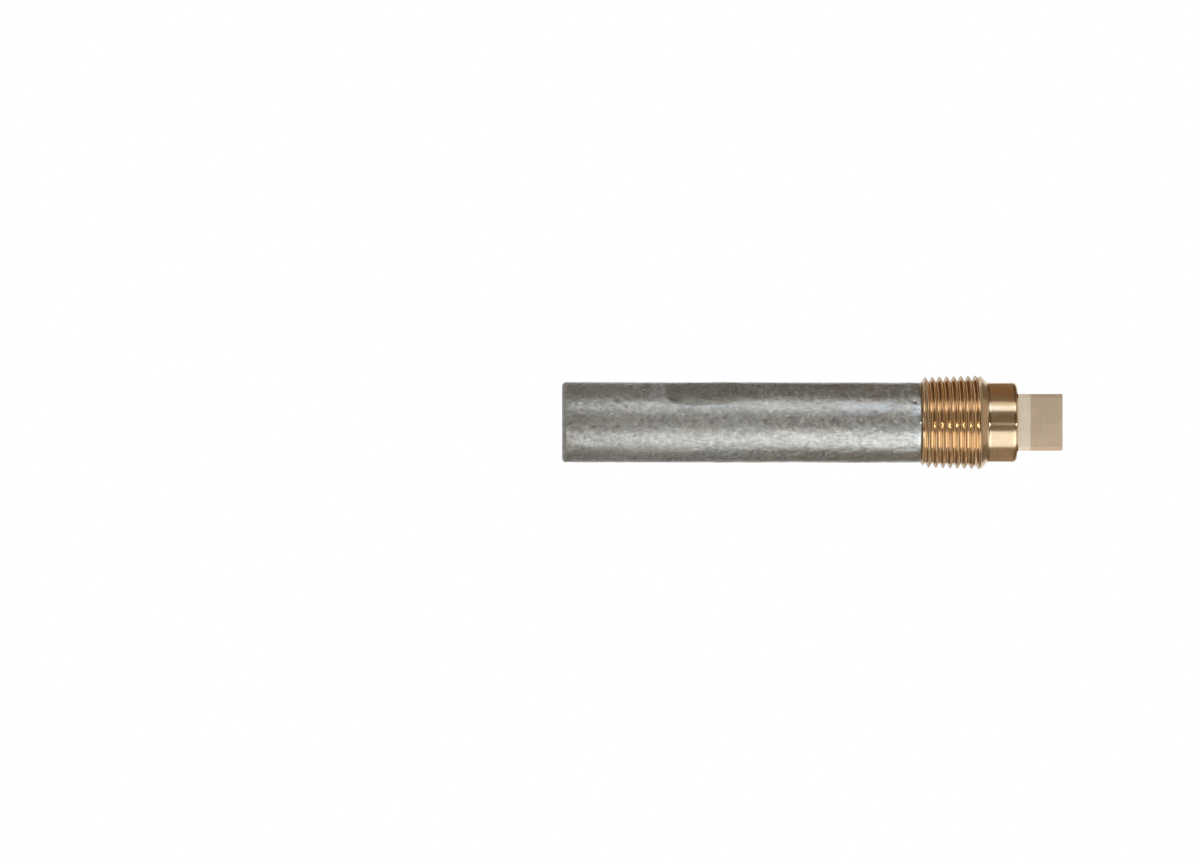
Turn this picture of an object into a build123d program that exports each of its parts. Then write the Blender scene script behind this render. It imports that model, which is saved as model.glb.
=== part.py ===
from build123d import *
import os
from math import ceil, floor, radians, tan

# Pencil anode: a cast zinc rod screwed into a bronze plug with a taper thread and a square head
# Millimetres, +Z along the axis from the rod's free end to the head
# The origin is the centre of the free end, on which the anode stands

# Zinc rod
ROD_DIAMETER = 19.0
ROD_LENGTH = 85.0
FREE_END_RADIUS = 0.9
SHOULDER_RADIUS = 0.6

# Threaded stub of the rod, 5/8 inch with 11 threads to the inch
STUB_DIAMETER = 15.875
STUB_LENGTH = 15.0
STUB_PITCH = 25.4 / 11
STUB_NECK_UNDERCUT = 0.45
STUB_NECK_LENGTH = 2.8
STUB_END_CHAMFER = 0.7

# Blind tapped bore of the plug
STUB_CLEARANCE = 0.1
COUNTERBORE_CLEARANCE = 0.2
COUNTERBORE_SPARE = 0.2
BORE_SPARE_THREAD = 0.6
BORE_SPARE_DRILL = 1.5
DRILL_POINT_ANGLE = 118.0

# Taper thread of the plug
THREAD_LARGE_DIAMETER = 22.3
THREAD_LENGTH = 14.1
THREAD_TAPER = 1 / 16
THREAD_PITCH = 1.7
THREAD_CREST_WIDTH = 0.16
THREAD_ROOT_WIDTH = 0.22
THREAD_FIRST_CREST = 1.0
LEAD_IN_DEPTH = 1.05
LEAD_IN_LENGTH = 1.0

# Smooth tail of the taper thread, and the collar
TAIL_DEPTH = 0.15
TAIL_LENGTH = 1.6
COLLAR_DIAMETER = 18.8
COLLAR_LENGTH = 7.0
COLLAR_EDGE_RADIUS = 0.9

# Square head
HEAD_ACROSS_FLATS = 13.4
HEAD_CORNER_INSET = 0.5
HEAD_LENGTH = 10.5

# Threads: rings of the true form and pitch without the helix's climb, flanks of 30 degrees, and
# run-outs in turns where the roots rise to the surface
FLANK_TANGENT = tan(radians(30))
STUB_RUN_OUT_TURNS = 0.6
THREAD_RUN_OUT_TURNS = 1.1
HIDDEN_STEP = 0.1
TRIM_REACH = 3.0

# Levels along the axis
Z_SEAT = ROD_LENGTH
Z_STUB_THREAD = Z_SEAT + STUB_NECK_LENGTH
Z_STUB_END = Z_SEAT + STUB_LENGTH
Z_BORE_THREAD_END = Z_STUB_END + BORE_SPARE_THREAD
Z_DRILL_END = Z_BORE_THREAD_END + BORE_SPARE_DRILL
Z_THREAD_END = Z_SEAT + THREAD_LENGTH
Z_COLLAR = Z_THREAD_END + TAIL_LENGTH
Z_HEAD = Z_COLLAR + COLLAR_LENGTH
Z_TOP = Z_HEAD + HEAD_LENGTH


def thread_depth(pitch, crest_width, root_width):
    """Radial depth of a 60 degree thread whose crests and roots have these widths."""
    return (pitch - crest_width - root_width) / 2 / FLANK_TANGENT


# Stub thread form, with crests an eighth and roots a quarter of the pitch wide
STUB_CREST_WIDTH = STUB_PITCH / 8
STUB_DEPTH = thread_depth(STUB_PITCH, STUB_CREST_WIDTH, STUB_PITCH / 4)
STUB_ROOT_RADIUS = STUB_DIAMETER / 2 - STUB_DEPTH
STUB_NECK_RADIUS = STUB_DIAMETER / 2 - STUB_NECK_UNDERCUT
THREAD_DEPTH = thread_depth(THREAD_PITCH, THREAD_CREST_WIDTH, THREAD_ROOT_WIDTH)


def crest_radius(z):
    """Radius over the crests of the taper thread at this level."""
    return THREAD_LARGE_DIAMETER / 2 - (Z_THREAD_END - z) * THREAD_TAPER / 2


def turned(points):
    """A solid of revolution about Z from points of radius and height."""
    return revolve(Plane.XZ * make_face(Polyline(*points, close=True)), Axis.Z)


def rims_of_radius(body, radius):
    """The circular edges of this radius, from the lowest up."""
    rims = body.edges().filter_by(GeomType.CIRCLE).sort_by(Axis.Z)
    return [rim for rim in rims if abs(rim.radius - radius) < HIDDEN_STEP / 2]


def threaded_rod(z_low, z_high, z_crest, pitch, depth, crest_width, crest):
    """A threaded rod that reaches past both levels, its ridges drawn as rings one pitch apart.

    The middle of a ridge is at z_crest, and crest gives the crest radius at a level.
    """
    first = floor((z_low - z_crest) / pitch)
    last = ceil((z_high - z_crest) / pitch)
    outline = []
    for turn in range(first, last + 1):
        middle = z_crest + turn * pitch
        foot = crest_width / 2 + depth * FLANK_TANGENT
        for offset, sink in ((-foot, depth), (-crest_width / 2, 0), (crest_width / 2, 0), (foot, depth)):
            outline.append((crest(middle + offset) - sink, middle + offset))
    return turned([(0, outline[0][1]), *outline, (0, outline[-1][1])])


def between_chamfers(low_radius, z_low, low_slope, high_radius, z_high, high_slope):
    """The space between two end chamfers, wider than any thread. A slope is height for each unit of radius."""
    return turned(
        [
            (0, z_low),
            (low_radius, z_low),
            (low_radius + TRIM_REACH, z_low + TRIM_REACH * low_slope),
            (high_radius + TRIM_REACH, z_high - TRIM_REACH * high_slope),
            (high_radius, z_high),
            (0, z_high),
        ]
    )


def stub_crest(clearance):
    """The crest radius of the stub's parallel thread, or of its bore with a clearance."""
    return lambda z: STUB_DIAMETER / 2 + clearance


def stub_thread():
    """The stub's thread between the neck and the chamfered free end."""
    thread = threaded_rod(
        Z_STUB_THREAD, Z_STUB_END, Z_SEAT, STUB_PITCH, STUB_DEPTH, STUB_CREST_WIDTH, stub_crest(0)
    )
    neck = STUB_NECK_RADIUS - HIDDEN_STEP
    return thread & between_chamfers(
        neck, Z_STUB_THREAD, 1, STUB_DIAMETER / 2 - STUB_END_CHAMFER, Z_STUB_END, 1
    )


def zinc_rod():
    """The cast rod: round body, plain neck, and the stub whose roots run out at the neck."""
    z_full = Z_STUB_THREAD + STUB_RUN_OUT_TURNS * STUB_PITCH
    body = turned(
        [
            (0, 0),
            (ROD_DIAMETER / 2, 0),
            (ROD_DIAMETER / 2, Z_SEAT),
            (STUB_NECK_RADIUS, Z_SEAT),
            (STUB_NECK_RADIUS, Z_STUB_THREAD),
            (STUB_ROOT_RADIUS - HIDDEN_STEP, z_full),
            (0, z_full),
        ]
    )
    free_end, shoulder = rims_of_radius(body, ROD_DIAMETER / 2)
    body = fillet(free_end, FREE_END_RADIUS)
    shoulder_wall = ROD_DIAMETER / 2 - STUB_NECK_RADIUS
    body = fillet(shoulder, min(SHOULDER_RADIUS, shoulder_wall / 2))
    return body + stub_thread()


def bore():
    """The space of the blind bore: counterbore, tapped thread in step with the stub, drill and its point."""
    thread = threaded_rod(
        Z_SEAT,
        Z_BORE_THREAD_END,
        Z_SEAT,
        STUB_PITCH,
        STUB_DEPTH,
        STUB_CREST_WIDTH,
        stub_crest(STUB_CLEARANCE),
    )
    counterbore = STUB_DIAMETER / 2 + COUNTERBORE_CLEARANCE
    thread = thread & between_chamfers(
        counterbore, Z_SEAT + HIDDEN_STEP, 1, counterbore, Z_BORE_THREAD_END, 0
    )
    drill = STUB_ROOT_RADIUS + STUB_CLEARANCE - HIDDEN_STEP
    z_tap = Z_STUB_THREAD + COUNTERBORE_SPARE
    hole = turned(
        [
            (0, Z_SEAT - TRIM_REACH),
            (counterbore, Z_SEAT - TRIM_REACH),
            (counterbore, z_tap),
            (drill, z_tap + counterbore - drill),
            (drill, Z_DRILL_END),
            (0, Z_DRILL_END + drill / tan(radians(DRILL_POINT_ANGLE / 2))),
        ]
    )
    return hole + thread


def taper_thread():
    """The taper thread between the lead-in chamfer and the tail's chamfer."""
    thread = threaded_rod(
        Z_SEAT,
        Z_THREAD_END + TAIL_LENGTH,
        Z_SEAT + THREAD_FIRST_CREST,
        THREAD_PITCH,
        THREAD_DEPTH,
        THREAD_CREST_WIDTH,
        crest_radius,
    )
    small_end = crest_radius(Z_SEAT + LEAD_IN_LENGTH) - LEAD_IN_DEPTH
    tail = crest_radius(Z_THREAD_END) - TAIL_DEPTH - HIDDEN_STEP
    return thread & between_chamfers(
        small_end, Z_SEAT, LEAD_IN_LENGTH / LEAD_IN_DEPTH, tail, Z_THREAD_END, 1
    )


def collar():
    """The run-out of the taper thread's roots, the smooth tail and the collar with its rounded edge."""
    z_full = Z_THREAD_END - THREAD_RUN_OUT_TURNS * THREAD_PITCH
    body = turned(
        [
            (0, z_full),
            (crest_radius(z_full) - THREAD_DEPTH - HIDDEN_STEP, z_full),
            (crest_radius(Z_THREAD_END) - TAIL_DEPTH, Z_THREAD_END),
            (COLLAR_DIAMETER / 2, Z_COLLAR),
            (COLLAR_DIAMETER / 2, Z_HEAD),
            (0, Z_HEAD),
        ]
    )
    rim = rims_of_radius(body, COLLAR_DIAMETER / 2)[-1]
    return fillet(rim, COLLAR_EDGE_RADIUS)


def square_head():
    """The square for the spanner, its corners turned off, reaching down into the collar's edge."""
    base = Z_HEAD - COLLAR_EDGE_RADIUS
    upright = (Align.CENTER, Align.CENTER, Align.MIN)
    square = Box(HEAD_ACROSS_FLATS, HEAD_ACROSS_FLATS, Z_TOP - base, align=upright)
    corners = Cylinder(COLLAR_DIAMETER / 2 - HEAD_CORNER_INSET, Z_TOP - base, align=upright)
    return Pos(0, 0, base) * (square & corners)


def threaded_plug():
    """The bronze plug: taper thread, collar and square head in one piece, with the tapped bore."""
    return taper_thread() + collar() + square_head() - bore()


PARTS = {"zinc_rod": zinc_rod, "threaded_plug": threaded_plug}

os.makedirs("parts", exist_ok=True)
for name, make in PARTS.items():
    export_step(make(), f"parts/{name}.step")
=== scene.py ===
"""Looks of the pencil anode: a cast zinc rod in a turned bronze plug, stood on a pale studio floor.

Metres, +Z along the axis from the rod's free end to the square head. Both pieces are surfaces laid out as
rings of points round that axis, so threads, edges and the square head come out of one continuous skin each.
"""

import logging
import math
from collections.abc import Callable
from dataclasses import dataclass, replace
from enum import Enum

import bmesh
import bpy
import numpy as np
from bpy.types import NodeSocket as Socket
from mathutils import Matrix, Vector, noise


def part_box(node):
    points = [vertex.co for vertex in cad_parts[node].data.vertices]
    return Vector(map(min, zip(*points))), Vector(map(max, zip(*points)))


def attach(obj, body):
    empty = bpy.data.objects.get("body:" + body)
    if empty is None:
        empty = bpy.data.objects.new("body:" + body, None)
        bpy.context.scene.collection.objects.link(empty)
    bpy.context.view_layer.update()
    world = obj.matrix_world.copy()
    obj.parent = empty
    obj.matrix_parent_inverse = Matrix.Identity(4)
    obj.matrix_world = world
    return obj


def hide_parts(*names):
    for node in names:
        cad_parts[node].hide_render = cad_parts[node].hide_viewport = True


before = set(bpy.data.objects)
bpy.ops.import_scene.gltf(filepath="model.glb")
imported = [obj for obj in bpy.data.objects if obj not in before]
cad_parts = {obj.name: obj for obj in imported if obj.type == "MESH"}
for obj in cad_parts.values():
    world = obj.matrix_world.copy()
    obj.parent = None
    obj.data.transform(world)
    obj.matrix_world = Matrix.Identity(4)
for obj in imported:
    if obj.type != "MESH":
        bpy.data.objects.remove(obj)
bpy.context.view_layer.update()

LOG = logging.getLogger("anode")
MM = 0.001
TURN = 2 * math.pi

# How far a flank of a 60 degree thread runs along the axis for each unit of depth
FLANK_SLOPE = math.tan(math.radians(30))

# Points closer than this become one, and edges with a larger angle stay sharp
MERGE_DISTANCE = 0.0002 * MM
SHARP_ANGLE = math.radians(32)

# How quickly a dent's depth falls off from its middle
DENT_FALL_OFF = 1.6


class Finish(Enum):
    """The finishes of the anode, by the name of their material."""

    CAST_ZINC = "cast_zinc"
    CUT_ZINC = "cut_zinc"
    TURNED_BRONZE = "turned_bronze"
    MILLED_BRONZE = "milled_bronze"


@dataclass(frozen=True)
class ThreadForm:
    """A right-hand 60 degree thread whose crests and roots are rounded.

    ridge is the level where the crest crosses the X axis, and level is where the crest radius is stated.
    """

    pitch: float
    depth: float
    crest_width: float
    root_width: float
    ridge: float
    radius: float
    level: float = 0.0
    taper: float = 0.0
    crest_round: float = 0.1 * MM
    root_round: float = 0.1 * MM
    arc_rows: int = 1
    flank_rows: int = 0

    def half_profile(self) -> tuple[np.ndarray, np.ndarray]:
        """Distances from the crest's middle and the depths there, as far as the root's middle."""
        crest, root = self.crest_width / 2, (self.pitch - self.root_width) / 2
        turns = np.linspace(0, math.radians(60), self.arc_rows + 1)
        out, down = np.sin(turns), 1 - np.cos(turns)
        over = crest + self.crest_round * (out - FLANK_SLOPE)
        under = (root - self.root_round * (out - FLANK_SLOPE))[::-1]
        flank = np.linspace(over[-1], under[0], self.flank_rows + 2)[1:-1]
        slope = self.depth / (root - crest)
        top, bottom = self.crest_round * down, self.depth - (self.root_round * down)[::-1]
        places = [0, *over, *flank, *under, self.pitch / 2]
        depths = [0, *top, *((flank - crest) * slope), *bottom, self.depth]
        return np.array(places), np.array(depths)

    def rows(self, low: float, high: float, angles: np.ndarray) -> tuple[np.ndarray, np.ndarray, int]:
        """Rows of points that follow the helix between two levels, and rest on those levels past them.

        Args:
            low: The level where the rows begin.
            high: The level where they end.
            angles: The angle of each column.

        Returns:
            Heights and radii with one row per line, and how many rows one turn climbs.
        """
        places, depths = self.half_profile()
        steps = np.concatenate([places, self.pitch - places[-2:0:-1]])
        sinks = np.concatenate([depths, depths[-2:0:-1]])
        first = self.ridge + math.floor((low - self.ridge) / self.pitch - 1) * self.pitch
        turns = math.ceil((high - first) / self.pitch) + 1
        base = (first + self.pitch * np.arange(turns)[:, None] + steps[None, :]).ravel()
        climb = self.pitch * angles / TURN
        height = np.clip(base[:, None] + climb[None, :], low, high)
        place = (height - self.ridge - climb) % self.pitch
        sink = np.interp(place, np.append(steps, self.pitch), np.append(sinks, 0))
        crest = self.radius + (height - self.level) * self.taper / 2
        return height, crest - sink, len(steps)


class Skin:
    """A closed surface of rings of points round the Z axis, from one pole to the other."""

    def __init__(self, angles: np.ndarray) -> None:
        """Starts with no rings.

        Args:
            angles: The angle of each column of points, rising, within one turn.
        """
        self.angles = angles
        self.heights: list[np.ndarray] = []
        self.radii: list[np.ndarray] = []
        self.partners: list[int] = []
        self.finishes: list[Finish] = []
        self.weights: list[float] = []

    def ring(self, radius: object, height: object, finish: Finish, weight: float = 0.0) -> None:
        """Adds a ring that closes on itself.

        Args:
            radius: Its radius, one number or one for each column.
            height: Its level, likewise.
            finish: The finish of the faces that end on it.
            weight: How much of the cast skin's unevenness it shows.
        """
        self.radii.append(np.broadcast_to(radius, self.angles.shape).astype(float))
        self.heights.append(np.broadcast_to(height, self.angles.shape).astype(float))
        self.partners.append(len(self.partners))
        self.finishes.append(finish)
        self.weights.append(weight)

    def run(self, end: tuple, finish: Finish, count: int, weight: float = 0.0) -> None:
        """Adds count rings in a straight run from the last ring to end, a radius and a level."""
        radius, height = self.radii[-1], self.heights[-1]
        for share in np.arange(1, count + 1) / count:
            self.ring(radius + (end[0] - radius) * share, height + (end[1] - height) * share, finish, weight)

    def bend(self, corner: tuple, end: tuple, finish: Finish, count: int, weight: float = 0.0) -> None:
        """Adds count rings in a quarter round from the last ring to end, whose tangents meet at corner."""
        radius, height = self.radii[-1], self.heights[-1]
        for turn in np.linspace(0, math.pi / 2, count + 1)[1:]:
            back, out = 1 - math.sin(turn), 1 - math.cos(turn)
            self.ring(
                corner[0] + (radius - corner[0]) * back + (end[0] - corner[0]) * out,
                corner[1] + (height - corner[1]) * back + (end[1] - corner[1]) * out,
                finish,
                weight,
            )

    def helix(self, heights: np.ndarray, radii: np.ndarray, rise: int, finish: Finish) -> None:
        """Adds rows that climb rise rows in a turn, or from the top down if rise is below zero.

        At the seam each row meets the one that is rise rows further.
        """
        first, last = len(self.partners), len(self.partners) + len(heights) - 1
        order = range(len(heights)) if rise > 0 else range(len(heights) - 1, -1, -1)
        for row in order:
            self.ring(radii[row], heights[row], finish)
            self.partners[-1] = min(max(self.partners[-1] + rise, first), last)
        end = first if rise > 0 else last
        self.partners[end] = end

    def mesh(self, name: str, uneven: Callable | None = None) -> bpy.types.Mesh:
        """Builds the mesh, one piece with no doubled points.

        Args:
            name: The mesh's name.
            uneven: Optional function of the points' array that gives each an outward offset.

        Returns:
            The mesh, with a material slot for each finish in the order of first use.
        """
        radii, heights = np.array(self.radii), np.array(self.heights)
        rings, columns = radii.shape
        coordinates = [radii * np.cos(self.angles), radii * np.sin(self.angles), heights]
        points = np.stack(coordinates, axis=-1).reshape(-1, 3)
        index = np.arange(rings * columns).reshape(rings, columns)
        following = np.roll(index, -1, axis=1)
        following[:, -1] = index[np.array(self.partners), 0]
        corners = [index[:-1], following[:-1], following[1:], index[1:]]
        quads = np.stack(corners, axis=-1).reshape(-1, 4)
        kinds = list(dict.fromkeys(self.finishes[1:]))
        slots = np.repeat([kinds.index(finish) for finish in self.finishes[1:]], columns)
        made = bpy.data.meshes.new(name)
        made.from_pydata(points.tolist(), [], quads.tolist())
        made.polygons.foreach_set("material_index", slots.astype(np.int32))
        made.update()
        if uneven is not None:
            normals = np.empty(len(points) * 3)
            made.vertices.foreach_get("normal", normals)
            weight = np.repeat(self.weights, columns)[:, None]
            points = points + normals.reshape(-1, 3) * uneven(points)[:, None] * weight
            made.vertices.foreach_set("co", points.ravel())
        whole = bmesh.new()
        whole.from_mesh(made)
        bmesh.ops.remove_doubles(whole, verts=whole.verts, dist=MERGE_DISTANCE)
        bmesh.ops.dissolve_degenerate(whole, edges=whole.edges, dist=MERGE_DISTANCE)
        whole.to_mesh(made)
        whole.free()
        made.shade_smooth()
        made.set_sharp_from_angle(angle=SHARP_ANGLE)
        for kind in kinds:
            made.materials.append(bpy.data.materials[kind.value])
        return made


def put(name: str, data: bpy.types.ID) -> bpy.types.Object:
    """Puts a new object with this data in the scene."""
    made = bpy.data.objects.new(name, data)
    bpy.context.scene.collection.objects.link(made)
    return made


def add_piece(name: str, mesh: bpy.types.Mesh, node: str) -> None:
    """Puts a mesh in the scene in place of a node of the frame.

    Args:
        name: The piece's name.
        mesh: Its mesh, in the frame's own place.
        node: The node that it stands for.
    """
    piece = put(name, mesh)
    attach(piece, "root")
    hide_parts(node)
    LOG.info("%s: %d points, %d faces", name, len(mesh.vertices), len(mesh.polygons))


def bearing_point(bearing: float, distance: float, height: float) -> Vector:
    """A point at a bearing in degrees from the -Y side, positive towards -X."""
    angle = math.radians(bearing)
    return Vector((-math.sin(angle) * distance, -math.cos(angle) * distance, height))


@dataclass(frozen=True)
class Mark:
    """A pit, dent or smudge of the casting.

    Its bearing goes round the axis in degrees from the -Y side, positive towards -X. Its half length lies
    along the axis and its half width round it.
    """

    height: float
    bearing: float
    half_length: float
    half_width: float
    depth: float = 0.0
    darkness: float = 0.0

    def angle(self) -> float:
        """The same place as an angle from +X."""
        return -math.pi / 2 - math.radians(self.bearing)


MARKS = tuple(
    Mark(height * MM, bearing, length * MM, width * MM, depth * MM, darkness)
    for height, bearing, length, width, depth, darkness in (
        (83.3, 30.4, 0.45, 0.4, 0.3, 0.9),
        (82.9, 34.0, 1.3, 0.8, 0.06, 0),
        (13.0, 34.2, 0.7, 0.7, 0.12, 0.55),
        (14.9, 23.4, 0.45, 0.45, 0.06, 0.3),
        (7.6, -5.6, 0.5, 0.4, 0.05, 0.35),
        (13.1, -5.6, 0.5, 0.4, 0.05, 0.35),
        (21.0, -54.1, 0.5, 0.5, 0.08, 0.5),
        (26.5, 36.5, 1.9, 0.9, 0.05, 0.45),
        (41.2, 19.9, 0.5, 0.4, 0.07, 0),
        (54.6, 6.6, 1.5, 0.35, 0.04, 0.5),
        (61.6, 3.0, 1.2, 0.35, 0.03, 0.35),
        (64.4, 2.3, 1.2, 0.8, 0.07, 0.55),
        (62.1, -52.7, 0.4, 0.9, 0.08, 0.5),
        (78.4, -55.5, 0.5, 0.45, 0.07, 0.5),
        (40.0, 160.0, 1.4, 0.7, 0.07, 0.5),
        (66.0, 205.0, 0.6, 0.6, 0.12, 0.5),
        (22.0, 110.0, 0.9, 0.5, 0.08, 0.45),
    )
)


@dataclass
class ZincRod:
    """The cast rod with its rounded ends and the threaded stub that the plug hides."""

    box: tuple
    seat: float
    free_end_round: float = 0.9 * MM
    shoulder_round: float = 0.6 * MM
    stub_radius: float = 7.9375 * MM
    neck_undercut: float = 0.45 * MM
    neck_length: float = 2.8 * MM
    stub_chamfer: float = 0.7 * MM
    stub_pitch: float = 25.4 / 11 * MM
    run_out_turns: float = 0.6
    columns: int = 168
    body_rows: int = 330
    swell: float = 0.09 * MM
    ripple: float = 0.05 * MM
    grain: float = 0.016 * MM
    small_dents: int = 90
    seed: int = 11

    def dents(self) -> list[Mark]:
        """The listed marks and small dents strewn over the rod."""
        draw = np.random.default_rng(self.seed)
        strewn = [
            Mark(
                draw.uniform(2 * MM, self.seat - 1 * MM),
                draw.uniform(0, 360),
                draw.uniform(0.25, 0.8) * MM,
                draw.uniform(0.2, 0.5) * MM,
                draw.uniform(0.02, 0.07) * MM,
            )
            for _ in range(self.small_dents)
        ]
        return [*MARKS, *strewn]

    def cast_skin(self, points: np.ndarray) -> np.ndarray:
        """How far the cast skin stands out at each point.

        Args:
            points: The points of the smooth rod, one per line.

        Returns:
            One offset for each point.
        """
        slow = Vector((1 / 6, 1 / 6, 1 / 17)) / MM
        quick = Vector((1 / 2.3, 1 / 2.3, 1 / 4.4)) / MM
        fine = Vector((1, 1, 1)) / (0.75 * MM)
        offset = np.array(
            [
                self.swell * noise.noise(Vector(point) * slow)
                + self.ripple * noise.fractal(Vector(point) * quick, 0.6, 2.0, 3)
                + self.grain * noise.noise(Vector(point) * fine)
                for point in points
            ]
        )
        angle = np.arctan2(points[:, 1], points[:, 0])
        reach = np.hypot(points[:, 0], points[:, 1])
        for dent in self.dents():
            across = (angle - dent.angle() + math.pi) % TURN - math.pi
            away = np.hypot(across * reach / dent.half_width, (points[:, 2] - dent.height) / dent.half_length)
            offset -= dent.depth * np.exp(-(away**2) * DENT_FALL_OFF) * (reach > self.stub_radius)
        return offset

    def stub_thread(self) -> ThreadForm:
        """The stub's 5/8 inch thread with 11 threads to the inch."""
        crest, root = self.stub_pitch / 8, self.stub_pitch / 4
        depth = (self.stub_pitch - crest - root) / 2 / FLANK_SLOPE
        return ThreadForm(self.stub_pitch, depth, crest, root, self.seat, self.stub_radius)

    def skin(self) -> Skin:
        """The whole surface, from the middle of the free end to the middle of the stub's end."""
        radius = self.box[1][0]
        neck = self.stub_radius - self.neck_undercut
        top = self.box[1][2]
        cast, cut = Finish.CAST_ZINC, Finish.CUT_ZINC
        skin = Skin(np.arange(self.columns) * TURN / self.columns)
        skin.ring(0, 0, cast)
        skin.run((radius - self.free_end_round, 0), cast, count=10)
        skin.bend((radius, 0), (radius, self.free_end_round), cast, count=7, weight=0.5)
        skin.run((radius, self.seat - self.shoulder_round), cast, self.body_rows, weight=1.0)
        shoulder = (radius - self.shoulder_round, self.seat)
        skin.bend((radius, self.seat), shoulder, cast, count=5, weight=0.4)
        skin.run((neck, self.seat), cut, count=3)
        skin.run((neck, self.seat + self.neck_length), cut, count=4)
        self.add_thread(skin, neck, top)
        skin.run((0, top), cut, count=5)
        return skin

    def add_thread(self, skin: Skin, neck: float, top: float) -> None:
        """Adds the thread's rows, which run out at the neck and end in a chamfer.

        Args:
            skin: The surface so far, ending at the neck's far end.
            neck: The neck's radius.
            top: The level of the stub's end.
        """
        form = self.stub_thread()
        low = self.seat + self.neck_length
        heights, radii, rise = form.rows(low, top, skin.angles)
        run_out = self.run_out_turns * form.pitch
        floor = np.interp(heights, [low, low + run_out], [neck, form.radius - form.depth])
        radii = np.minimum(np.maximum(radii, floor), form.radius - self.stub_chamfer + top - heights)
        radii = np.minimum(radii, neck + heights - low)
        skin.helix(heights, radii, rise, Finish.CUT_ZINC)

    def build(self) -> None:
        """Builds the rod and puts it in the scene."""
        mesh = self.skin().mesh("zinc_casting", self.cast_skin)
        add_piece("zinc_casting", mesh, "zinc_rod")


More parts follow.
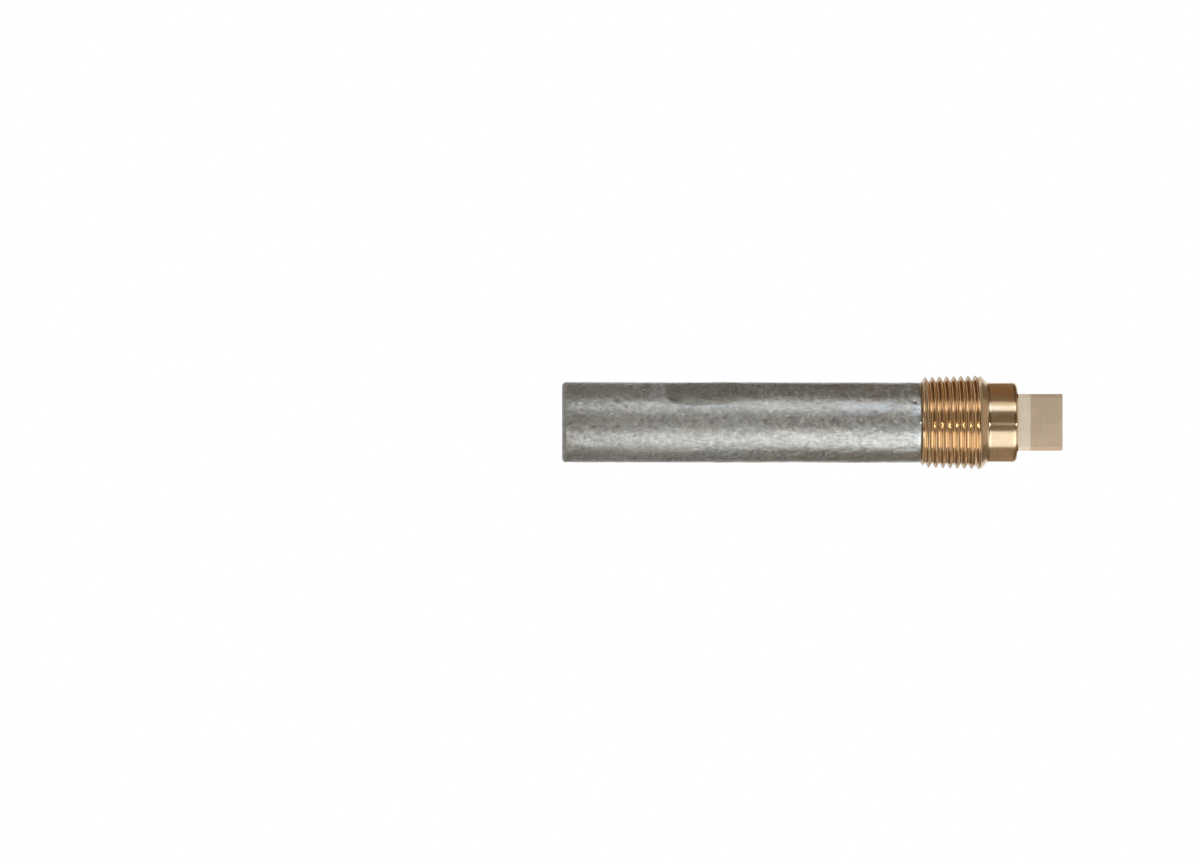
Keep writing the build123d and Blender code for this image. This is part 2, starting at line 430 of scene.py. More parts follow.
@dataclass
class ThreadedPlug:
    """The bronze plug: taper thread, smooth tail, collar and square head, with its tapped bore.

    A root_factor a hair over 2 leaves a flat between the two roundings of the taper thread's root.
    """

    box: tuple
    rod: ZincRod
    thread_length: float = 14.1 * MM
    large_radius: float = 11.15 * MM
    taper: float = 1 / 16
    pitch: float = 1.7 * MM
    crest_width: float = 0.16 * MM
    crest_round: float = 0.13 * MM
    root_round: float = 0.28 * MM
    root_factor: float = 2.001
    first_crest: float = 1.0 * MM
    lead_in_depth: float = 1.05 * MM
    lead_in_length: float = 1.0 * MM
    tail_depth: float = 0.15 * MM
    tail_length: float = 1.6 * MM
    tail_blend: float = 0.35 * MM
    run_out_turns: float = 1.1
    collar_radius: float = 9.4 * MM
    collar_length: float = 7.0 * MM
    collar_round: float = 0.9 * MM
    collar_face_fall: float = 0.06 * MM
    half_flats: float = 6.7 * MM
    corner_inset: float = 0.5 * MM
    head_length: float = 10.5 * MM
    root_fillet: float = 0.12 * MM
    edge_break: float = 0.18 * MM
    bore_clearance: float = 0.1 * MM
    mouth_clearance: float = 0.2 * MM
    mouth_spare: float = 0.2 * MM
    spare_thread: float = 0.6 * MM
    spare_drill: float = 1.5 * MM
    drill_point: float = 118.0
    arc_rows: int = 4
    flank_rows: int = 1
    flat_columns: int = 48
    corner_columns: int = 7

    def levels(self) -> tuple[float, float, float, float]:
        """The levels where the taper thread, the tail, the collar and the head end."""
        thread = self.rod.seat + self.thread_length
        tail = thread + self.tail_length
        collar = tail + self.collar_length
        return thread, tail, collar, collar + self.head_length

    def crest_radius(self, height: float) -> float:
        """The radius over the taper thread's crests at a level."""
        return self.large_radius - (self.levels()[0] - height) * self.taper / 2

    def corner_radius(self) -> float:
        """The radius to which the square's corners are turned."""
        return self.collar_radius - self.corner_inset

    def angles(self) -> np.ndarray:
        """Column angles, with one on each edge between a flat and a turned corner."""
        edge = math.acos(self.half_flats / self.corner_radius())
        flat = np.linspace(-edge, edge, self.flat_columns + 1)[:-1]
        corner = np.linspace(edge, math.pi / 2 - edge, self.corner_columns + 1)[:-1]
        side = np.concatenate([flat, corner])
        return np.concatenate([side + quarter * math.pi / 2 for quarter in range(4)])

    def outline(self, inset: float) -> np.ndarray:
        """The head's outline, as a radius for each column, drawn in by an inset."""
        facing = (self.angles() + math.pi / 4) % (math.pi / 2) - math.pi / 4
        return np.minimum((self.half_flats - inset) / np.cos(facing), self.corner_radius() - inset)

    def add_bore(self, skin: Skin) -> None:
        """Adds the drill's point, the tapped thread, the plain mouth and the end face."""
        finish = Finish.TURNED_BRONZE
        seat = self.rod.seat
        form = self.rod.stub_thread()
        drill = form.radius - form.depth + self.bore_clearance
        mouth = form.radius + self.mouth_clearance
        tapped = self.rod.box[1][2] + self.spare_thread
        bottom = tapped + self.spare_drill
        tap_start = seat + self.rod.neck_length + self.mouth_spare
        skin.ring(0, bottom + drill / math.tan(math.radians(self.drill_point / 2)), finish)
        skin.run((drill, bottom), finish, count=4)
        skin.run((drill, tapped), finish, count=2)
        form = replace(form, radius=form.radius + self.bore_clearance)
        heights, radii, rise = form.rows(tap_start, tapped, skin.angles)
        opened = mouth - (heights - tap_start)
        skin.helix(heights, np.maximum(radii, opened), -rise, finish)
        skin.run((mouth, tap_start), finish, count=1)
        skin.run((mouth, seat), finish, count=3)

    def add_thread(self, skin: Skin) -> None:
        """Adds the lead-in, the taper thread and its run-out."""
        finish = Finish.TURNED_BRONZE
        seat, end = self.rod.seat, self.levels()[0]
        root_width = self.root_factor * self.root_round * FLANK_SLOPE
        depth = (self.pitch - self.crest_width - root_width) / 2 / FLANK_SLOPE
        ridge = seat + self.first_crest - self.pitch / 2
        form = ThreadForm(
            self.pitch, depth, self.crest_width, root_width, ridge, self.large_radius, end, self.taper,
            self.crest_round, self.root_round, self.arc_rows, self.flank_rows,
        )
        small = self.crest_radius(seat + self.lead_in_length) - self.lead_in_depth
        tail = self.large_radius - self.tail_depth
        full = end - self.run_out_turns * self.pitch
        skin.run((small, seat), finish, count=4)
        heights, radii, rise = form.rows(seat, end, skin.angles)
        radii = np.minimum(radii, small + (heights - seat) * self.lead_in_depth / self.lead_in_length)
        radii = np.minimum(radii, tail + end - heights)
        floor = np.interp(heights, [full, end], [self.crest_radius(full) - depth, tail])
        radii = np.maximum(radii, np.where(heights > full, floor, 0))
        skin.helix(heights, radii, rise, finish)

    def add_collar(self, skin: Skin) -> None:
        """Adds the smooth tail, the collar, its rounded edge and its slightly conical end face."""
        finish = Finish.TURNED_BRONZE
        radius, blend = self.collar_radius, self.tail_blend
        _, start, end, _ = self.levels()
        shoulder = end - self.collar_face_fall
        skin.run((radius + blend, start - blend), finish, count=4)
        skin.bend((radius, start), (radius, start + blend), finish, count=6)
        skin.run((radius, shoulder - self.collar_round), finish, count=24)
        skin.bend((radius, shoulder), (radius - self.collar_round, shoulder), finish, count=8)
        skin.run((self.outline(-self.root_fillet), end), finish, count=5)

    def add_head(self, skin: Skin) -> None:
        """Adds the square head with its root fillet and broken edges, and closes the top."""
        finish = Finish.MILLED_BRONZE
        _, _, start, top = self.levels()
        full = self.outline(0)
        skin.bend((full, start), (full, start + self.root_fillet), finish, count=4)
        skin.run((full, top - self.edge_break), finish, count=30)
        skin.bend((full, top), (self.outline(self.edge_break), top), finish, count=3)
        skin.run((0, top), finish, count=14)

    def build(self) -> None:
        """Builds the plug, from the drill's point round to the top of the head, and puts it in the scene."""
        skin = Skin(self.angles())
        for add in (self.add_bore, self.add_thread, self.add_collar, self.add_head):
            add(skin)
        add_piece("bronze_plug", skin.mesh("bronze_plug"), "threaded_plug")


class Wires:
    """A node tree that is being wired up."""

    def __init__(self, tree: bpy.types.NodeTree) -> None:
        """Takes a tree and empties it."""
        self.tree = tree
        tree.nodes.clear()

    def add(self, kind: str, inputs: dict | None = None, **settings: object) -> bpy.types.Node:
        """Adds a node.

        Args:
            kind: The node's type.
            inputs: Values or output sockets for its inputs, by name or number.
            settings: Its other properties.

        Returns:
            The node.
        """
        node = self.tree.nodes.new(kind)
        for name, value in settings.items():
            setattr(node, name, value)
        for key, value in (inputs or {}).items():
            if isinstance(value, Socket):
                self.tree.links.new(value, node.inputs[key])
            else:
                node.inputs[key].default_value = value
        return node

    def math(self, kind: str, *terms: object) -> Socket:
        """Adds a Math node of a kind such as MULTIPLY and returns its output."""
        return self.add("ShaderNodeMath", dict(enumerate(terms)), operation=kind).outputs[0]

    def vector(self, kind: str, *terms: object) -> Socket:
        """Adds a Vector Math node of a kind such as MULTIPLY and returns its output."""
        node = self.add("ShaderNodeVectorMath", dict(enumerate(terms)), operation=kind)
        return node.outputs["Value" if kind == "LENGTH" else "Vector"]

    def weighed(self, *terms: tuple) -> Socket:
        """Adds up masks, each of which comes with its weight."""
        total = self.math("MULTIPLY", *terms[0])
        for mask, weight in terms[1:]:
            total = self.math("MULTIPLY_ADD", mask, weight, total)
        return total

    def highest(self, first: Socket, *others: Socket) -> Socket:
        """Finds the highest of several masks at each point."""
        for mask in others:
            first = self.math("MAXIMUM", first, mask)
        return first

    def mix(self, mask: Socket, first: object, second: object, strength: float = 1.0) -> Socket:
        """Mixes a second colour into a first by a mask times a strength, and returns the colour."""
        share = mask if strength == 1.0 else self.math("MULTIPLY", mask, strength)
        return self.add("ShaderNodeMix", {0: share, 6: first, 7: second}, data_type="RGBA").outputs[2]

    def spread(self, mask: Socket, low: float, high: float) -> Socket:
        """Maps a mask from 0 and 1 to two other values."""
        return self.add("ShaderNodeMapRange", {"Value": mask, "To Min": low, "To Max": high}).outputs[0]

    def between(self, value: Socket, start: object, full: object) -> Socket:
        """Makes a mask that rises from 0 to 1 as the value goes from start to full."""
        inputs = {"Value": value, "From Min": start, "From Max": full}
        return self.add("ShaderNodeMapRange", inputs).outputs[0]

    def place(self) -> Socket:
        """Gives each point's place in the frame."""
        return self.add("ShaderNodeTexCoord").outputs["Object"]

    def reach(self, place: Socket) -> Socket:
        """Gives the distance of a place from the Z axis."""
        return self.vector("LENGTH", self.vector("MULTIPLY", place, (1, 1, 0)))

    def level(self, place: Socket) -> Socket:
        """Gives the height of a place."""
        return self.add("ShaderNodeSeparateXYZ", {0: place}).outputs[2]

    def bump(self, strength: float, distance: float, height: Socket) -> Socket:
        """Gives the normal of a surface with this height."""
        inputs = {"Strength": strength, "Distance": distance, "Height": height}
        return self.add("ShaderNodeBump", inputs).outputs[0]

    def effect(self, group: str, **inputs: object) -> bpy.types.NodeOutputs:
        """Adds a shared effect by its group's name, an underscore in an input's name standing for a space."""
        values = {name.replace("_", " "): value for name, value in inputs.items()}
        return self.add("ShaderNodeGroup", values, node_tree=bpy.data.node_groups[group]).outputs

    def close(self, look: dict) -> None:
        """Ends a material in a Principled BSDF with these inputs."""
        shader = self.add("ShaderNodeBsdfPrincipled", look)
        self.add("ShaderNodeOutputMaterial", {"Surface": shader.outputs[0]})


def new_group(name: str, inputs: dict, *outputs: str) -> tuple[Wires, dict]:
    """Makes an empty shader node group.

    Args:
        name: The group's name.
        inputs: The usual values of its inputs by name, a number or a vector each.
        outputs: The names of its number outputs.

    Returns:
        The wires inside it, and its input sockets by name.
    """
    tree = bpy.data.node_groups.new(name, "ShaderNodeTree")
    for label, value in inputs.items():
        kind = "NodeSocketVector" if isinstance(value, tuple) else "NodeSocketFloat"
        tree.interface.new_socket(name=label, in_out="INPUT", socket_type=kind).default_value = value
    for label in outputs:
        tree.interface.new_socket(name=label, in_out="OUTPUT", socket_type="NodeSocketFloat")
    wires = Wires(tree)
    entry = wires.add("NodeGroupInput").outputs
    return wires, {label: entry[label] for label in inputs}


def mottle_group() -> None:
    """A soft patchy mask, drawn out along the axis by Stretch."""
    inputs = {"Scale": 200.0, "Stretch": 1.0, "Detail": 4.0, "Low": 0.35, "High": 0.65, "Seed": 0.0}
    wires, given = new_group("mottle", inputs, "Mask")
    squeeze = wires.add("ShaderNodeCombineXYZ", {0: 1.0, 1: 1.0, 2: given["Stretch"]}).outputs[0]
    look = {
        "Vector": wires.vector("MULTIPLY", wires.place(), squeeze),
        "W": given["Seed"],
        "Scale": given["Scale"],
        "Detail": given["Detail"],
        "Roughness": 0.62,
    }
    clouds = wires.add("ShaderNodeTexNoise", look, noise_dimensions="4D").outputs[0]
    wires.add("NodeGroupOutput", {"Mask": wires.between(clouds, given["Low"], given["High"])})


def speck_group() -> None:
    """Small separate specks: a mask that is 1 at the middle of each."""
    wires, given = new_group("specks", {"Scale": 600.0, "Size": 0.3, "Share": 0.3}, "Mask")
    cells = wires.add("ShaderNodeTexVoronoi", {"Vector": wires.place(), "Scale": given["Scale"]}).outputs
    pick = wires.add("ShaderNodeSeparateColor", {0: cells["Color"]}).outputs[0]
    chosen = wires.math("LESS_THAN", pick, given["Share"])
    near = wires.between(cells["Distance"], given["Size"], 0.0)
    wires.add("NodeGroupOutput", {"Mask": wires.math("MULTIPLY", near, chosen)})


def tool_mark_group() -> None:
    """Marks of a tool that moved along the axis, and outwards by Outward, as a height and a mask."""
    inputs = {"Spacing": 0.2 * MM, "Outward": 1.0, "Wander": 0.3}
    wires, given = new_group("tool_marks", inputs, "Height", "Mask")
    place = wires.place()
    travel = wires.math("MULTIPLY_ADD", wires.reach(place), given["Outward"], wires.level(place))
    steps = wires.math("DIVIDE", travel, given["Spacing"])
    drift = wires.add("ShaderNodeTexNoise", {"Vector": place, "Scale": 180.0, "Detail": 1.0}).outputs[0]
    course = wires.math("MULTIPLY_ADD", drift, given["Wander"], steps)
    look = {"W": course, "Scale": 1.0, "Detail": 2.0}
    marks = wires.add("ShaderNodeTexNoise", look, noise_dimensions="1D").outputs[0]
    wires.add("NodeGroupOutput", {"Height": marks, "Mask": wires.between(marks, 0.35, 0.65)})


def smudge_group() -> None:
    """A patch round one place: a mask that is 1 inside it, with an edge made ragged by a mottling."""
    inputs = {
        "Middle": (0.0, 0.0, 0.0),
        "Half Size": (1.0, 1.0, 1.0),
        "Squareness": 2.0,
        "Ragged": 0.3,
        "Scale": 240.0,
        "Softness": 0.2,
    }
    wires, given = new_group("smudge", inputs, "Mask")
    away = wires.vector("SUBTRACT", wires.place(), given["Middle"])
    shares = wires.vector("DIVIDE", away, given["Half Size"])
    power = given["Squareness"]
    across = wires.math("POWER", wires.reach(shares), power)
    along = wires.math("POWER", wires.math("ABSOLUTE", wires.level(shares)), power)
    reach = wires.math("POWER", wires.math("ADD", across, along), wires.math("DIVIDE", 1.0, power))
    clouds = wires.effect("mottle", Scale=given["Scale"], Stretch=0.45, Low=0.2, High=0.8, Seed=4.0)["Mask"]
    edge = wires.math("MULTIPLY_ADD", wires.math("SUBTRACT", clouds, 0.5), given["Ragged"], reach)
    full = wires.math("SUBTRACT", 1.0, given["Softness"])
    wires.add("NodeGroupOutput", {"Mask": wires.between(edge, 1.0, full)})


def new_material(name: str) -> bpy.types.Material:
    """Makes a material that has nodes."""
    material = bpy.data.materials.new(name)
    material.use_nodes = True
    return material


class Surface(Wires):
    """The node tree of a finish's material, with the radius of a round piece at hand."""

    def __init__(self, finish: Finish, radius: float = 0.0) -> None:
        """Makes the finish's material."""
        super().__init__(new_material(finish.value).node_tree)
        self.radius = radius
        LOG.info("material %s", finish.value)

    def mottle(self, scale: float, stretch: float, low: float, high: float, seed: float) -> Socket:
        """The mask of a mottling, with the inputs of its group."""
        look = {"Scale": scale, "Stretch": stretch, "Low": low, "High": high, "Seed": seed}
        return self.effect("mottle", **look)["Mask"]

    def smudge(self, middle: object, half_size: tuple, strength: float, **look: float) -> Socket:
        """The mask of a smudge, as strong as it says, with the other inputs of its group."""
        near = self.effect("smudge", Middle=middle, Half_Size=half_size, **look)["Mask"]
        return self.math("MULTIPLY", near, strength)

    def patches(self, kind: tuple) -> Socket:
        """One mask for the patches of one kind."""
        masks = []
        for patch in kind:
            middle = bearing_point(patch.bearing, self.radius, patch.height * MM)
            width, length = patch.half_width * MM, patch.half_length * MM
            look = {"Squareness": patch.squareness, "Ragged": patch.ragged, "Softness": patch.softness}
            masks.append(self.smudge(middle, (width, width, length), patch.strength, **look))
        return self.highest(*masks)

    def finish(self, colour: Socket, metal: object, roughness: Socket, normal: Socket) -> None:
        """Ends the material in these looks."""
        self.close({"Base Color": colour, "Metallic": metal, "Roughness": roughness, "Normal": normal})


@dataclass(frozen=True)
class Patch:
    """A patch of another colour on a round piece, in millimetres, at a bearing as Mark gives it."""

    height: float
    bearing: float
    half_length: float
    half_width: float
    strength: float
    squareness: float = 2.0
    ragged: float = 0.4
    softness: float = 0.2


@dataclass(frozen=True)
class CastZinc:
    """Raw cast zinc: a grey skin flecked along the rod, with smudges, brown stains and painted glints near
    the plug.
    """

    light: tuple = (0.84, 0.84, 0.81, 1)
    dark: tuple = (0.36, 0.365, 0.35, 1)
    rosy: tuple = (0.68, 0.62, 0.575, 1)
    bluish: tuple = (0.47, 0.505, 0.515, 1)
    stained: tuple = (0.23, 0.205, 0.155, 1)
    painted_glint: tuple = (0.76, 0.80, 0.82, 1)
    speck: tuple = (0.12, 0.12, 0.11, 1)
    shiny: float = 0.19
    dull: float = 0.36
    metal: float = 0.95
    mark_spread: float = 1.3
    stains: tuple = (
        Patch(33.0, 54.0, 9.0, 4.7, 0.55, 6.0, 0.25, 0.08),
        Patch(41.0, 58.0, 9.0, 4.7, 0.4, 2.5, 0.5, 0.5),
        Patch(22.0, -68.0, 24.0, 4.6, 0.42, 2.5, 0.6, 0.8),
        Patch(58.0, 62.0, 16.0, 4.9, 0.3, 3.0, 0.5, 0.5),
        Patch(10.0, 60.0, 13.0, 4.4, 0.25, 3.0, 0.5, 0.6),
    )
    # Painted glints: lighter bluish streaks laid where the rod's highlights fall
    painted_glints: tuple = (
        Patch(83.6, 12.0, 1.5, 4.0, 0.7, 2.0, 0.5, 0.6),
        Patch(84.0, -24.0, 1.0, 2.6, 0.5, 2.0, 0.5, 0.6),
        Patch(72.0, 22.0, 9.0, 2.2, 0.3, 2.0, 0.8, 0.9),
    )

    def colour(self, surface: Surface, close: Socket, flecks: Socket) -> Socket:
        """The skin's colour before its patches and smudges, from its close mottling and its flecks."""
        broad = surface.mottle(130.0, 0.3, 0.36, 0.64, 0.0)
        grain = surface.mottle(2300.0, 0.6, 0.3, 0.7, 7.0)
        warm = surface.mottle(210.0, 0.4, 0.52, 0.7, 12.0)
        cool = surface.mottle(170.0, 0.4, 0.55, 0.75, 15.0)
        tone = surface.weighed((broad, 0.25), (close, 0.25), (grain, 0.15), (flecks, 0.4))
        colour = surface.mix(tone, self.dark, self.light)
        colour = surface.mix(warm, colour, self.rosy, 0.45)
        return surface.mix(cool, colour, self.bluish, 0.4)

    def smudges(self, surface: Surface) -> Socket:
        """One mask for the dark marks, each as dark as it is said to be."""
        masks = []
        for mark in (mark for mark in MARKS if mark.darkness):
            width, length = mark.half_width * self.mark_spread, mark.half_length * self.mark_spread
            middle = bearing_point(mark.bearing, surface.radius, mark.height)
            look = {"Ragged": 1.6, "Scale": 1100.0, "Softness": 0.8}
            masks.append(surface.smudge(middle, (width, width, length), mark.darkness, **look))
        return surface.highest(*masks)

    def build(self, surface: Surface) -> None:
        """Builds the material."""
        close = surface.mottle(620.0, 0.6, 0.33, 0.67, 2.0)
        flecks = surface.mottle(1350.0, 0.62, 0.36, 0.64, 5.0)
        specks = surface.effect("specks", Scale=330.0, Size=0.2, Share=0.12)["Mask"]
        stain = surface.patches(self.stains)
        dark = surface.highest(self.smudges(surface), surface.math("MULTIPLY", specks, 0.5))
        colour = surface.mix(stain, self.colour(surface, close, flecks), self.stained)
        # Painted glints mixed in
        colour = surface.mix(surface.patches(self.painted_glints), colour, self.painted_glint)
        colour = surface.mix(dark, colour, self.speck)
        dull = surface.highest(surface.weighed((stain, 0.5), (close, 0.5)), dark)
        look = {"Scale": 1900.0, "Detail": 3.0, "Roughness": 0.6}
        grain = surface.add("ShaderNodeTexNoise", look).outputs[0]
        height = surface.weighed((close, 1.0), (grain, 0.6), (flecks, 0.7), (specks, -0.3))
        rough = surface.spread(dull, self.shiny, self.dull)
        surface.finish(colour, self.metal, rough, surface.bump(1.0, 0.026 * MM, height))


@dataclass(frozen=True)
class CutZinc:
    """Zinc that a tool has cut: brighter and smoother than the cast skin, with fine rings."""

    light: tuple = (0.60, 0.60, 0.58, 1)
    dark: tuple = (0.40, 0.40, 0.385, 1)
    metal: float = 0.9
    smooth: float = 0.28
    rough: float = 0.4

    def build(self, surface: Surface) -> None:
        """Builds the material."""
        rings = surface.effect("tool_marks", Spacing=0.16 * MM)
        rough = surface.spread(rings["Mask"], self.smooth, self.rough)
        colour = surface.mix(surface.mottle(300.0, 1.0, 0.35, 0.65, 6.0), self.dark, self.light)
        surface.finish(colour, self.metal, rough, surface.bump(0.6, 0.01 * MM, rings["Height"]))


@dataclass(frozen=True)
class TurnedBronze:
    """Bronze turned on a lathe: bright, finely ringed, darker on the thread with painted shade, and browner
    in patches of tarnish and painted shade.
    """

    bright: tuple = (0.84, 0.645, 0.43, 1)
    brown: tuple = (0.68, 0.41, 0.20, 1)
    tarnished_and_shaded: tuple = (0.80, 0.46, 0.21, 1)
    # Painted shade: a darker, deeper bronze over the thread below this level, standing in for the shade in
    # its grooves
    thread_shaded: tuple = (0.815, 0.595, 0.375, 1)
    thread_shade_high: float = 98.6 * MM
    thread_shade_edge: float = 0.5 * MM
    polished: float = 0.13
    worn: float = 0.26
    # Browner patches of tarnish; the two at bearing 60 are also painted shade for that side of the thread and
    # collar
    tarnish_and_shade: tuple = (
        Patch(104.0, 60.0, 4.6, 4.2, 0.7, 3.0, 0.6, 0.6),
        Patch(92.0, 60.0, 9.0, 5.6, 0.6, 3.0, 0.5, 0.6),
        Patch(96.0, 172.0, 9.0, 5.0, 0.5, 3.0, 0.6, 0.7),
    )

    def build(self, surface: Surface) -> None:
        """Builds the material."""
        browned = surface.mottle(260.0, 0.5, 0.4, 0.75, 1.0)
        scuffs = surface.mottle(1500.0, 1.0, 0.45, 0.7, 9.0)
        rings = surface.effect("tool_marks", Spacing=0.11 * MM, Wander=0.6)
        level = surface.level(surface.place())
        # Painted shade: the thread's zone is mixed towards the darker colour
        thread = surface.between(level, self.thread_shade_high + self.thread_shade_edge, self.thread_shade_high)
        colour = surface.mix(browned, self.bright, self.brown, 0.5)
        colour = surface.mix(thread, colour, self.thread_shaded, 0.8)
        # Tarnish and painted shade mixed in
        colour = surface.mix(surface.patches(self.tarnish_and_shade), colour, self.tarnished_and_shaded)
        dull = surface.weighed((scuffs, 0.5), (rings["Mask"], 0.5))
        height = surface.weighed((rings["Height"], 1.0), (scuffs, 0.3))
        rough = surface.spread(dull, self.polished, self.worn)
        surface.finish(colour, 1.0, rough, surface.bump(0.7, 0.0045 * MM, height))


@dataclass(frozen=True)
class MilledBronze:
    """Bronze milled flat: matte, with close cutter lines across the axis, a lighter run-out and painted shade
    on one flat.
    """

    light: tuple = (0.92, 0.75, 0.555, 1)
    dark: tuple = (0.69, 0.53, 0.38, 1)
    run_out: tuple = (0.95, 0.85, 0.70, 1)
    run_out_high: float = 110.6 * MM
    run_out_edge: float = 0.2 * MM
    # Painted shade: a darker colour that fades in over the -Y flat towards its -X edge
    painted_shade: tuple = (0.62, 0.485, 0.335, 1)
    painted_shade_middle: tuple = (-8.0 * MM, -6.7 * MM, 114.5 * MM)
    painted_shade_half_size: tuple = (13.0 * MM, 6.0 * MM, 11.0 * MM)
    painted_shade_strength: float = 0.7
    corner: tuple = (0.84, 0.67, 0.49, 1)
    corner_start: float = 8.72 * MM
    corner_full: float = 8.86 * MM
    metal: float = 0.82
    run_out_metal: float = 0.6
    smooth: float = 0.48
    rough: float = 0.6
    corner_rough: float = 0.78

    def build(self, surface: Surface) -> None:
        """Builds the material."""
        cloudy = surface.mottle(150.0, 0.8, 0.35, 0.65, 3.0)
        flecks = surface.mottle(1300.0, 0.8, 0.35, 0.65, 8.0)
        scratches = surface.mottle(900.0, 2.6, 0.4, 0.7, 5.0)
        lines = surface.effect("tool_marks", Spacing=0.22 * MM, Outward=0.0, Wander=0.5)
        place = surface.place()
        corner = surface.between(surface.reach(place), self.corner_start, self.corner_full)
        low, high = self.run_out_high - self.run_out_edge, self.run_out_high + self.run_out_edge
        run_out = surface.between(surface.level(place), high, low)
        look = {"Ragged": 0.5, "Softness": 1.0}
        # Painted shade, darkest at the -X edge of the -Y flat
        painted_shade = surface.smudge(self.painted_shade_middle, self.painted_shade_half_size, self.painted_shade_strength, **look)
        tone = surface.weighed((lines["Mask"], 0.3), (cloudy, 0.4), (flecks, 0.3))
        colour = surface.mix(tone, self.dark, self.light)
        colour = surface.mix(corner, colour, self.corner)
        colour = surface.mix(run_out, colour, self.run_out, 0.9)
        colour = surface.mix(painted_shade, colour, self.painted_shade)
        turned = surface.math("MULTIPLY", corner, self.corner_rough)
        rough = surface.highest(surface.spread(scratches, self.smooth, self.rough), turned)
        height = surface.weighed((lines["Height"], 1.0), (scratches, 0.5), (flecks, 0.5))
        metal = surface.spread(run_out, self.metal, self.run_out_metal)
        surface.finish(colour, metal, rough, surface.bump(0.8, 0.014 * MM, height))


# Watts for each square metre of a lamp that looks as bright as white
LAMP_POWER = 4.0


@dataclass(frozen=True)
class Lamp:
    """A soft oblong lamp at a bearing, which faces one level of the anode and which the camera doesn't see.

    Its radiance is how bright it looks, where 1 is white, and mirrored says whether metal shows it.
    """

    name: str
    bearing: float
    distance: float
    height: float
    aim_height: float
    size: tuple
    radiance: float
    colour: tuple
    mirrored: bool = True

    def build(self) -> None:
        """Makes the lamp."""
        lamp = bpy.data.lights.new(self.name, "AREA")
        lamp.shape = "RECTANGLE"
        lamp.size, lamp.size_y = self.size
        lamp.energy = LAMP_POWER * self.radiance * lamp.size * lamp.size_y
        lamp.color = self.colour
        place = bearing_point(self.bearing, self.distance, self.height)
        away = place - Vector((0, 0, self.aim_height))
        holder = put(self.name, lamp)
        holder.location = place
        holder.rotation_euler = away.to_track_quat("Z", "Y").to_euler()
        holder.visible_camera = False
        holder.visible_glossy = self.mirrored


def soft_box(name: str, start: float, end: float, radiance: float, colour: tuple) -> Lamp:
    """A tall lamp between two bearings; metal doesn't show it, but the face cards in its place."""
    distance, low, high = 1.6, 0.005, 1.05
    size = (2 * distance * math.tan(math.radians(abs(end - start) / 2)), high - low)
    level = (low + high) / 2
    return Lamp(name, (start + end) / 2, distance, level, level, size, radiance, colour, mirrored=False)


def add_sheet(name: str, points: list, faces: list, material: bpy.types.Material) -> bpy.types.Object:
    """Puts a sheet of flat faces in the scene and returns it."""
    mesh = bpy.data.meshes.new(name)
    mesh.from_pydata(points, [], faces)
    mesh.materials.append(material)
    return put(name, mesh)


def add_card(name: str, points: list, faces: list, shade: tuple) -> None:
    """Puts up a dull card that only reflections show, with its shade, how bright each colour of it is."""
    material = new_material(name)
    wires = Wires(material.node_tree)
    glow = wires.add("ShaderNodeEmission", {"Color": (*shade, 1), "Strength": 1.0})
    wires.add("ShaderNodeOutputMaterial", {"Surface": glow.outputs[0]})
    card = add_sheet(name, points, faces, material)
    card.visible_camera = card.visible_diffuse = card.visible_shadow = card.visible_transmission = False


@dataclass(frozen=True)
class CurvedCard:
    """A card round the anode between two bearings in degrees, in bands of different shades.

    The rails are the radius and the level of each edge of a band, so there is one more than there are
    shades. Each band is a card of its own, named after its end's level in millimetres.
    """

    name: str
    start: float
    end: float
    rails: tuple
    shades: tuple
    step: float = 5.0

    def build(self) -> None:
        """Makes the card."""
        count = max(2, round(abs(self.end - self.start) / self.step))
        bearings = [self.start + (self.end - self.start) * place / count for place in range(count + 1)]
        faces = [(2 * place, 2 * place + 1, 2 * place + 3, 2 * place + 2) for place in range(count)]
        for near, far, shade in zip(self.rails, self.rails[1:], self.shades):
            points = [bearing_point(turn, *rail) for turn in bearings for rail in (near, far)]
            add_card(f"{self.name}_{far[1] / MM:.0f}", points, faces, shade)


@dataclass(frozen=True)
class LevelCard:
    """A round level card on the axis."""

    name: str
    radius: float
    height: float
    shade: tuple
    corners: int = 48

    def build(self) -> None:
        """Makes the card."""
        places = range(self.corners)
        points = [bearing_point(360 * place / self.corners, self.radius, self.height) for place in places]
        add_card(self.name, points, [tuple(places)], self.shade)


# Edges of the upright cards' bands, each a radius and a level. The rod mirrors the band below 0.1215, the
# thread the one below 0.143 and the collar the one below 0.17. The faces have one more band at their foot
FOOT, *TOPS = ((0.75, level) for level in (0.001, 0.1215, 0.143, 0.17, 0.62))
BANDS = (FOOT, *TOPS)
FACE_BANDS = (FOOT, (0.75, 0.055), *TOPS)
BACK_BAND = (FOOT, TOPS[-1])
BACK_DARK = ((0.2, 0.17, 0.14),)
BACK_PALE = ((0.9, 0.88, 0.84),)

# Edges of the level cards that the thread's flanks mirror by way of each other
OVERHEAD = ((0.12, 0.59), (0.75, 0.59))

WHITE = (1, 1, 1, 1)


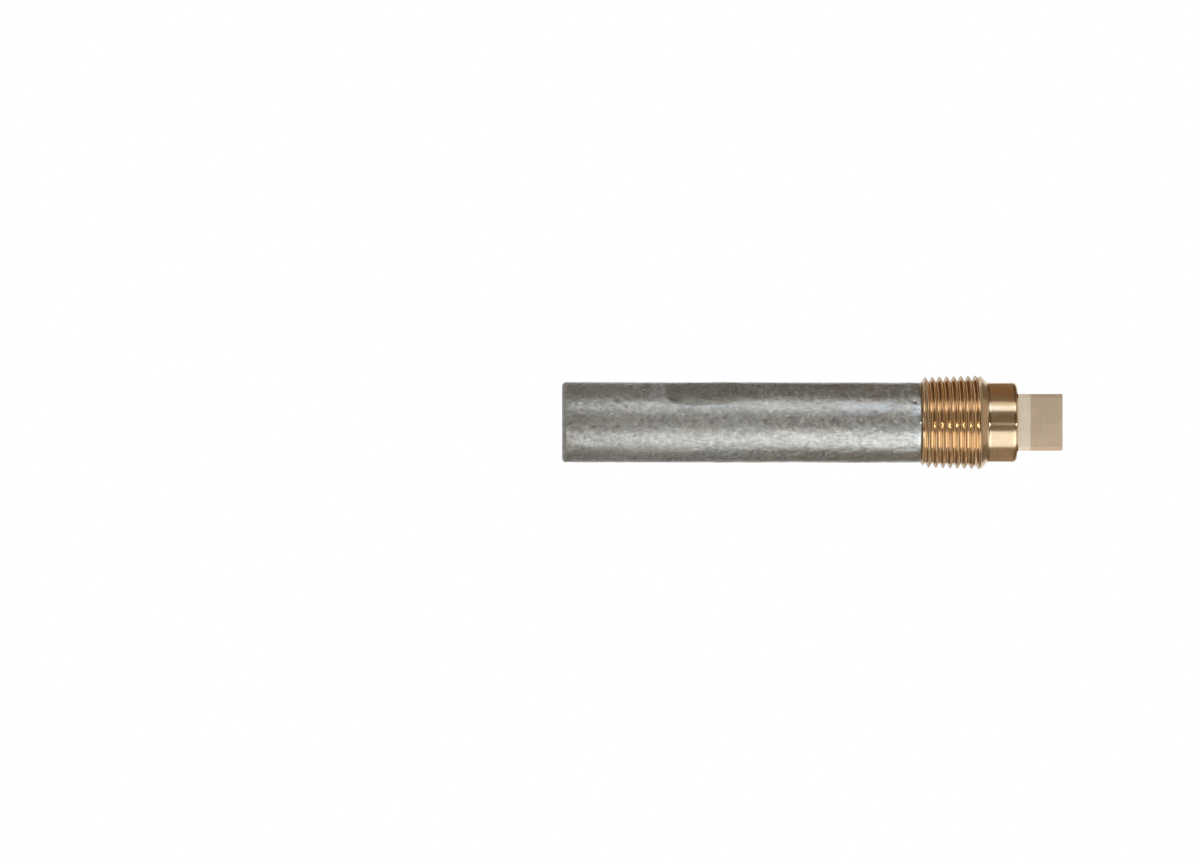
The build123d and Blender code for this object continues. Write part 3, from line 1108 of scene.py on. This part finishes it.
@dataclass
class Studio:
    """The pale floor, the soft lights, the dull cards, the white background and the camera."""

    picture_width_px: int = 1200
    picture_height_px: int = 864
    free_end_px: float = 562.3
    axis_px: float = 422.5
    px_per_metre: float = 4218.0
    lens_mm: float = 220.0
    sensor_mm: float = 36.0
    clip_factor: float = 20.0
    camera_height: float = 0.004 * MM
    floor_half_width: float = 1.5
    floor_colour: tuple = (0.84, 0.84, 0.83, 1)
    floor_roughness: float = 0.9
    ambient: float = 0.76
    lights: tuple = (
        soft_box("upper_softbox", 34, 61, 0.8, (0.98, 1.0, 1.0)),
        soft_box("lower_softbox", -26, -76, 0.8, (1.0, 0.99, 0.97)),
        Lamp("low_front_lamp", -4.8, 0.7, 0.15, 0.1, (0.017, 0.28), 1.3, (1.0, 0.97, 0.92)),
        Lamp("high_front_lamp", -8.5, 0.45, 0.54, 0.092, (0.05, 0.045), 30.0, (0.92, 0.98, 1.0)),
    )
    cards: tuple = (
        CurvedCard("front_card", -26, 34, BANDS, (
            (0.185, 0.17, 0.145), (0.08, 0.053, 0.03), (0.32, 0.265, 0.19), (0.07, 0.05, 0.032),
        )),
        CurvedCard("upper_face", 34, 50, FACE_BANDS, (
            (0.94, 0.96, 0.95), (0.83, 0.84, 0.82), (1.76, 2.0, 2.35), (0.66, 1.05, 1.65), (2.0, 2.03, 2.06),
        )),
        CurvedCard("upper_edge", 50, 61, BANDS, (
            (0.75, 0.72, 0.65), (0.9, 0.85, 0.75), (0.8, 0.78, 0.7), (0.9, 0.86, 0.8),
        )),
        CurvedCard("lower_face", -76, -26, FACE_BANDS, (
            (1.24, 1.23, 1.19), (0.7, 0.69, 0.66), (1.7, 1.93, 2.25), (0.4, 0.46, 0.49), (1.95, 1.95, 1.92),
        )),
        CurvedCard("upper_card", 61, 142, BANDS, (
            (0.085, 0.08, 0.066), (0.1, 0.07, 0.045), (0.42, 0.31, 0.21), (0.11, 0.08, 0.05),
        )),
        CurvedCard("lower_card", -142, -76, BANDS, (
            (0.14, 0.132, 0.115), (0.14, 0.1, 0.065), (0.52, 0.43, 0.33), (0.16, 0.12, 0.08),
        )),
        CurvedCard("back_card_left", 142, 155, BACK_BAND, BACK_DARK),
        CurvedCard("back_pale_card_left", 155, 172, BACK_BAND, BACK_PALE),
        CurvedCard("back_middle_card", 172, 188, BACK_BAND, BACK_DARK),
        CurvedCard("back_pale_card_right", 188, 205, BACK_BAND, BACK_PALE),
        CurvedCard("back_card_right", 205, 218, BACK_BAND, BACK_DARK),
        LevelCard("overhead_card", 0.76, 0.62, (0.18, 0.145, 0.11)),
        LevelCard("overhead_middle_card", 0.3, 0.6, (0.42, 0.34, 0.26)),
        CurvedCard("overhead_front_card", -39, 49, OVERHEAD, ((0.1, 0.07, 0.045),)),
        CurvedCard("overhead_upper_face", 49, 68, OVERHEAD, ((0.9, 0.96, 1.08),)),
        CurvedCard("overhead_lower_face", -95, -39, OVERHEAD, ((0.85, 0.9, 1.0),)),
        LevelCard("floor_card", 0.2, 0.0004, (0.28, 0.262, 0.235)),
    )

    def build(self) -> None:
        """Makes the whole studio."""
        self.add_floor()
        self.add_world()
        self.add_camera()
        for part in (*self.lights, *self.cards):
            part.build()
        bpy.context.scene.view_settings.view_transform = "Standard"

    def add_floor(self) -> None:
        """Makes the floor on which the anode stands."""
        half = self.floor_half_width
        material = new_material("pale_floor")
        look = {"Base Color": self.floor_colour, "Roughness": self.floor_roughness, "Specular IOR Level": 0.0}
        Wires(material.node_tree).close(look)
        points = [(-half, -half, 0), (half, -half, 0), (half, half, 0), (-half, half, 0)]
        floor = add_sheet("floor", points, [(0, 1, 2, 3)], material)

    def add_world(self) -> None:
        """Makes a world that is white to the eye and to reflections, and a soft even light otherwise."""
        world = bpy.data.worlds.new("studio")
        bpy.context.scene.world = world
        world.use_nodes = True
        wires = Wires(world.node_tree)
        path = wires.add("ShaderNodeLightPath").outputs
        seen = wires.highest(path["Is Camera Ray"], path["Is Glossy Ray"], path["Is Transmission Ray"])
        soft = wires.add("ShaderNodeBackground", {"Color": WHITE, "Strength": self.ambient})
        white = wires.add("ShaderNodeBackground", {"Color": WHITE, "Strength": 1.0})
        both = wires.add("ShaderNodeMixShader", {0: seen, 1: soft.outputs[0], 2: white.outputs[0]})
        wires.add("ShaderNodeOutputWorld", {"Surface": both.outputs[0]})

    def add_camera(self) -> None:
        """Aims a long lens level at the anode, turned on its side so that the axis runs across."""
        distance = self.picture_width_px / self.px_per_metre * self.lens_mm / self.sensor_mm
        across = (self.picture_width_px / 2 - self.free_end_px) / self.px_per_metre
        down = (self.picture_height_px / 2 - self.axis_px) / self.px_per_metre
        eye = Vector((down, -distance, self.camera_height))
        ahead = (Vector((down, 0, across)) - eye).normalized()
        right = (Vector((0, 0, 1)) - ahead * ahead.z).normalized()
        lens = bpy.data.cameras.new("camera")
        lens.lens, lens.sensor_width = self.lens_mm, self.sensor_mm
        lens.clip_start, lens.clip_end = distance / self.clip_factor, distance * self.clip_factor
        camera = put("camera", lens)
        turn = Matrix((right, right.cross(ahead), -ahead)).transposed()
        camera.matrix_world = Matrix.Translation(eye) @ turn.to_4x4()
        bpy.context.scene.camera = camera


def main() -> None:
    """Builds the shared effects, the finishes, the studio, the rod and the plug in that order."""
    logging.basicConfig(level=logging.INFO, format="%(name)s: %(message)s")
    rod = ZincRod(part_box("zinc_rod"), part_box("threaded_plug")[0][2])
    plug = ThreadedPlug(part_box("threaded_plug"), rod)
    for make_group in (mottle_group, speck_group, tool_mark_group, smudge_group):
        make_group()
    CastZinc().build(Surface(Finish.CAST_ZINC, rod.box[1][0]))
    CutZinc().build(Surface(Finish.CUT_ZINC))
    TurnedBronze().build(Surface(Finish.TURNED_BRONZE, plug.collar_radius))
    MilledBronze().build(Surface(Finish.MILLED_BRONZE))
    Studio().build()
    for piece in (rod, plug):
        piece.build()


if __name__ == "__main__":
    main()
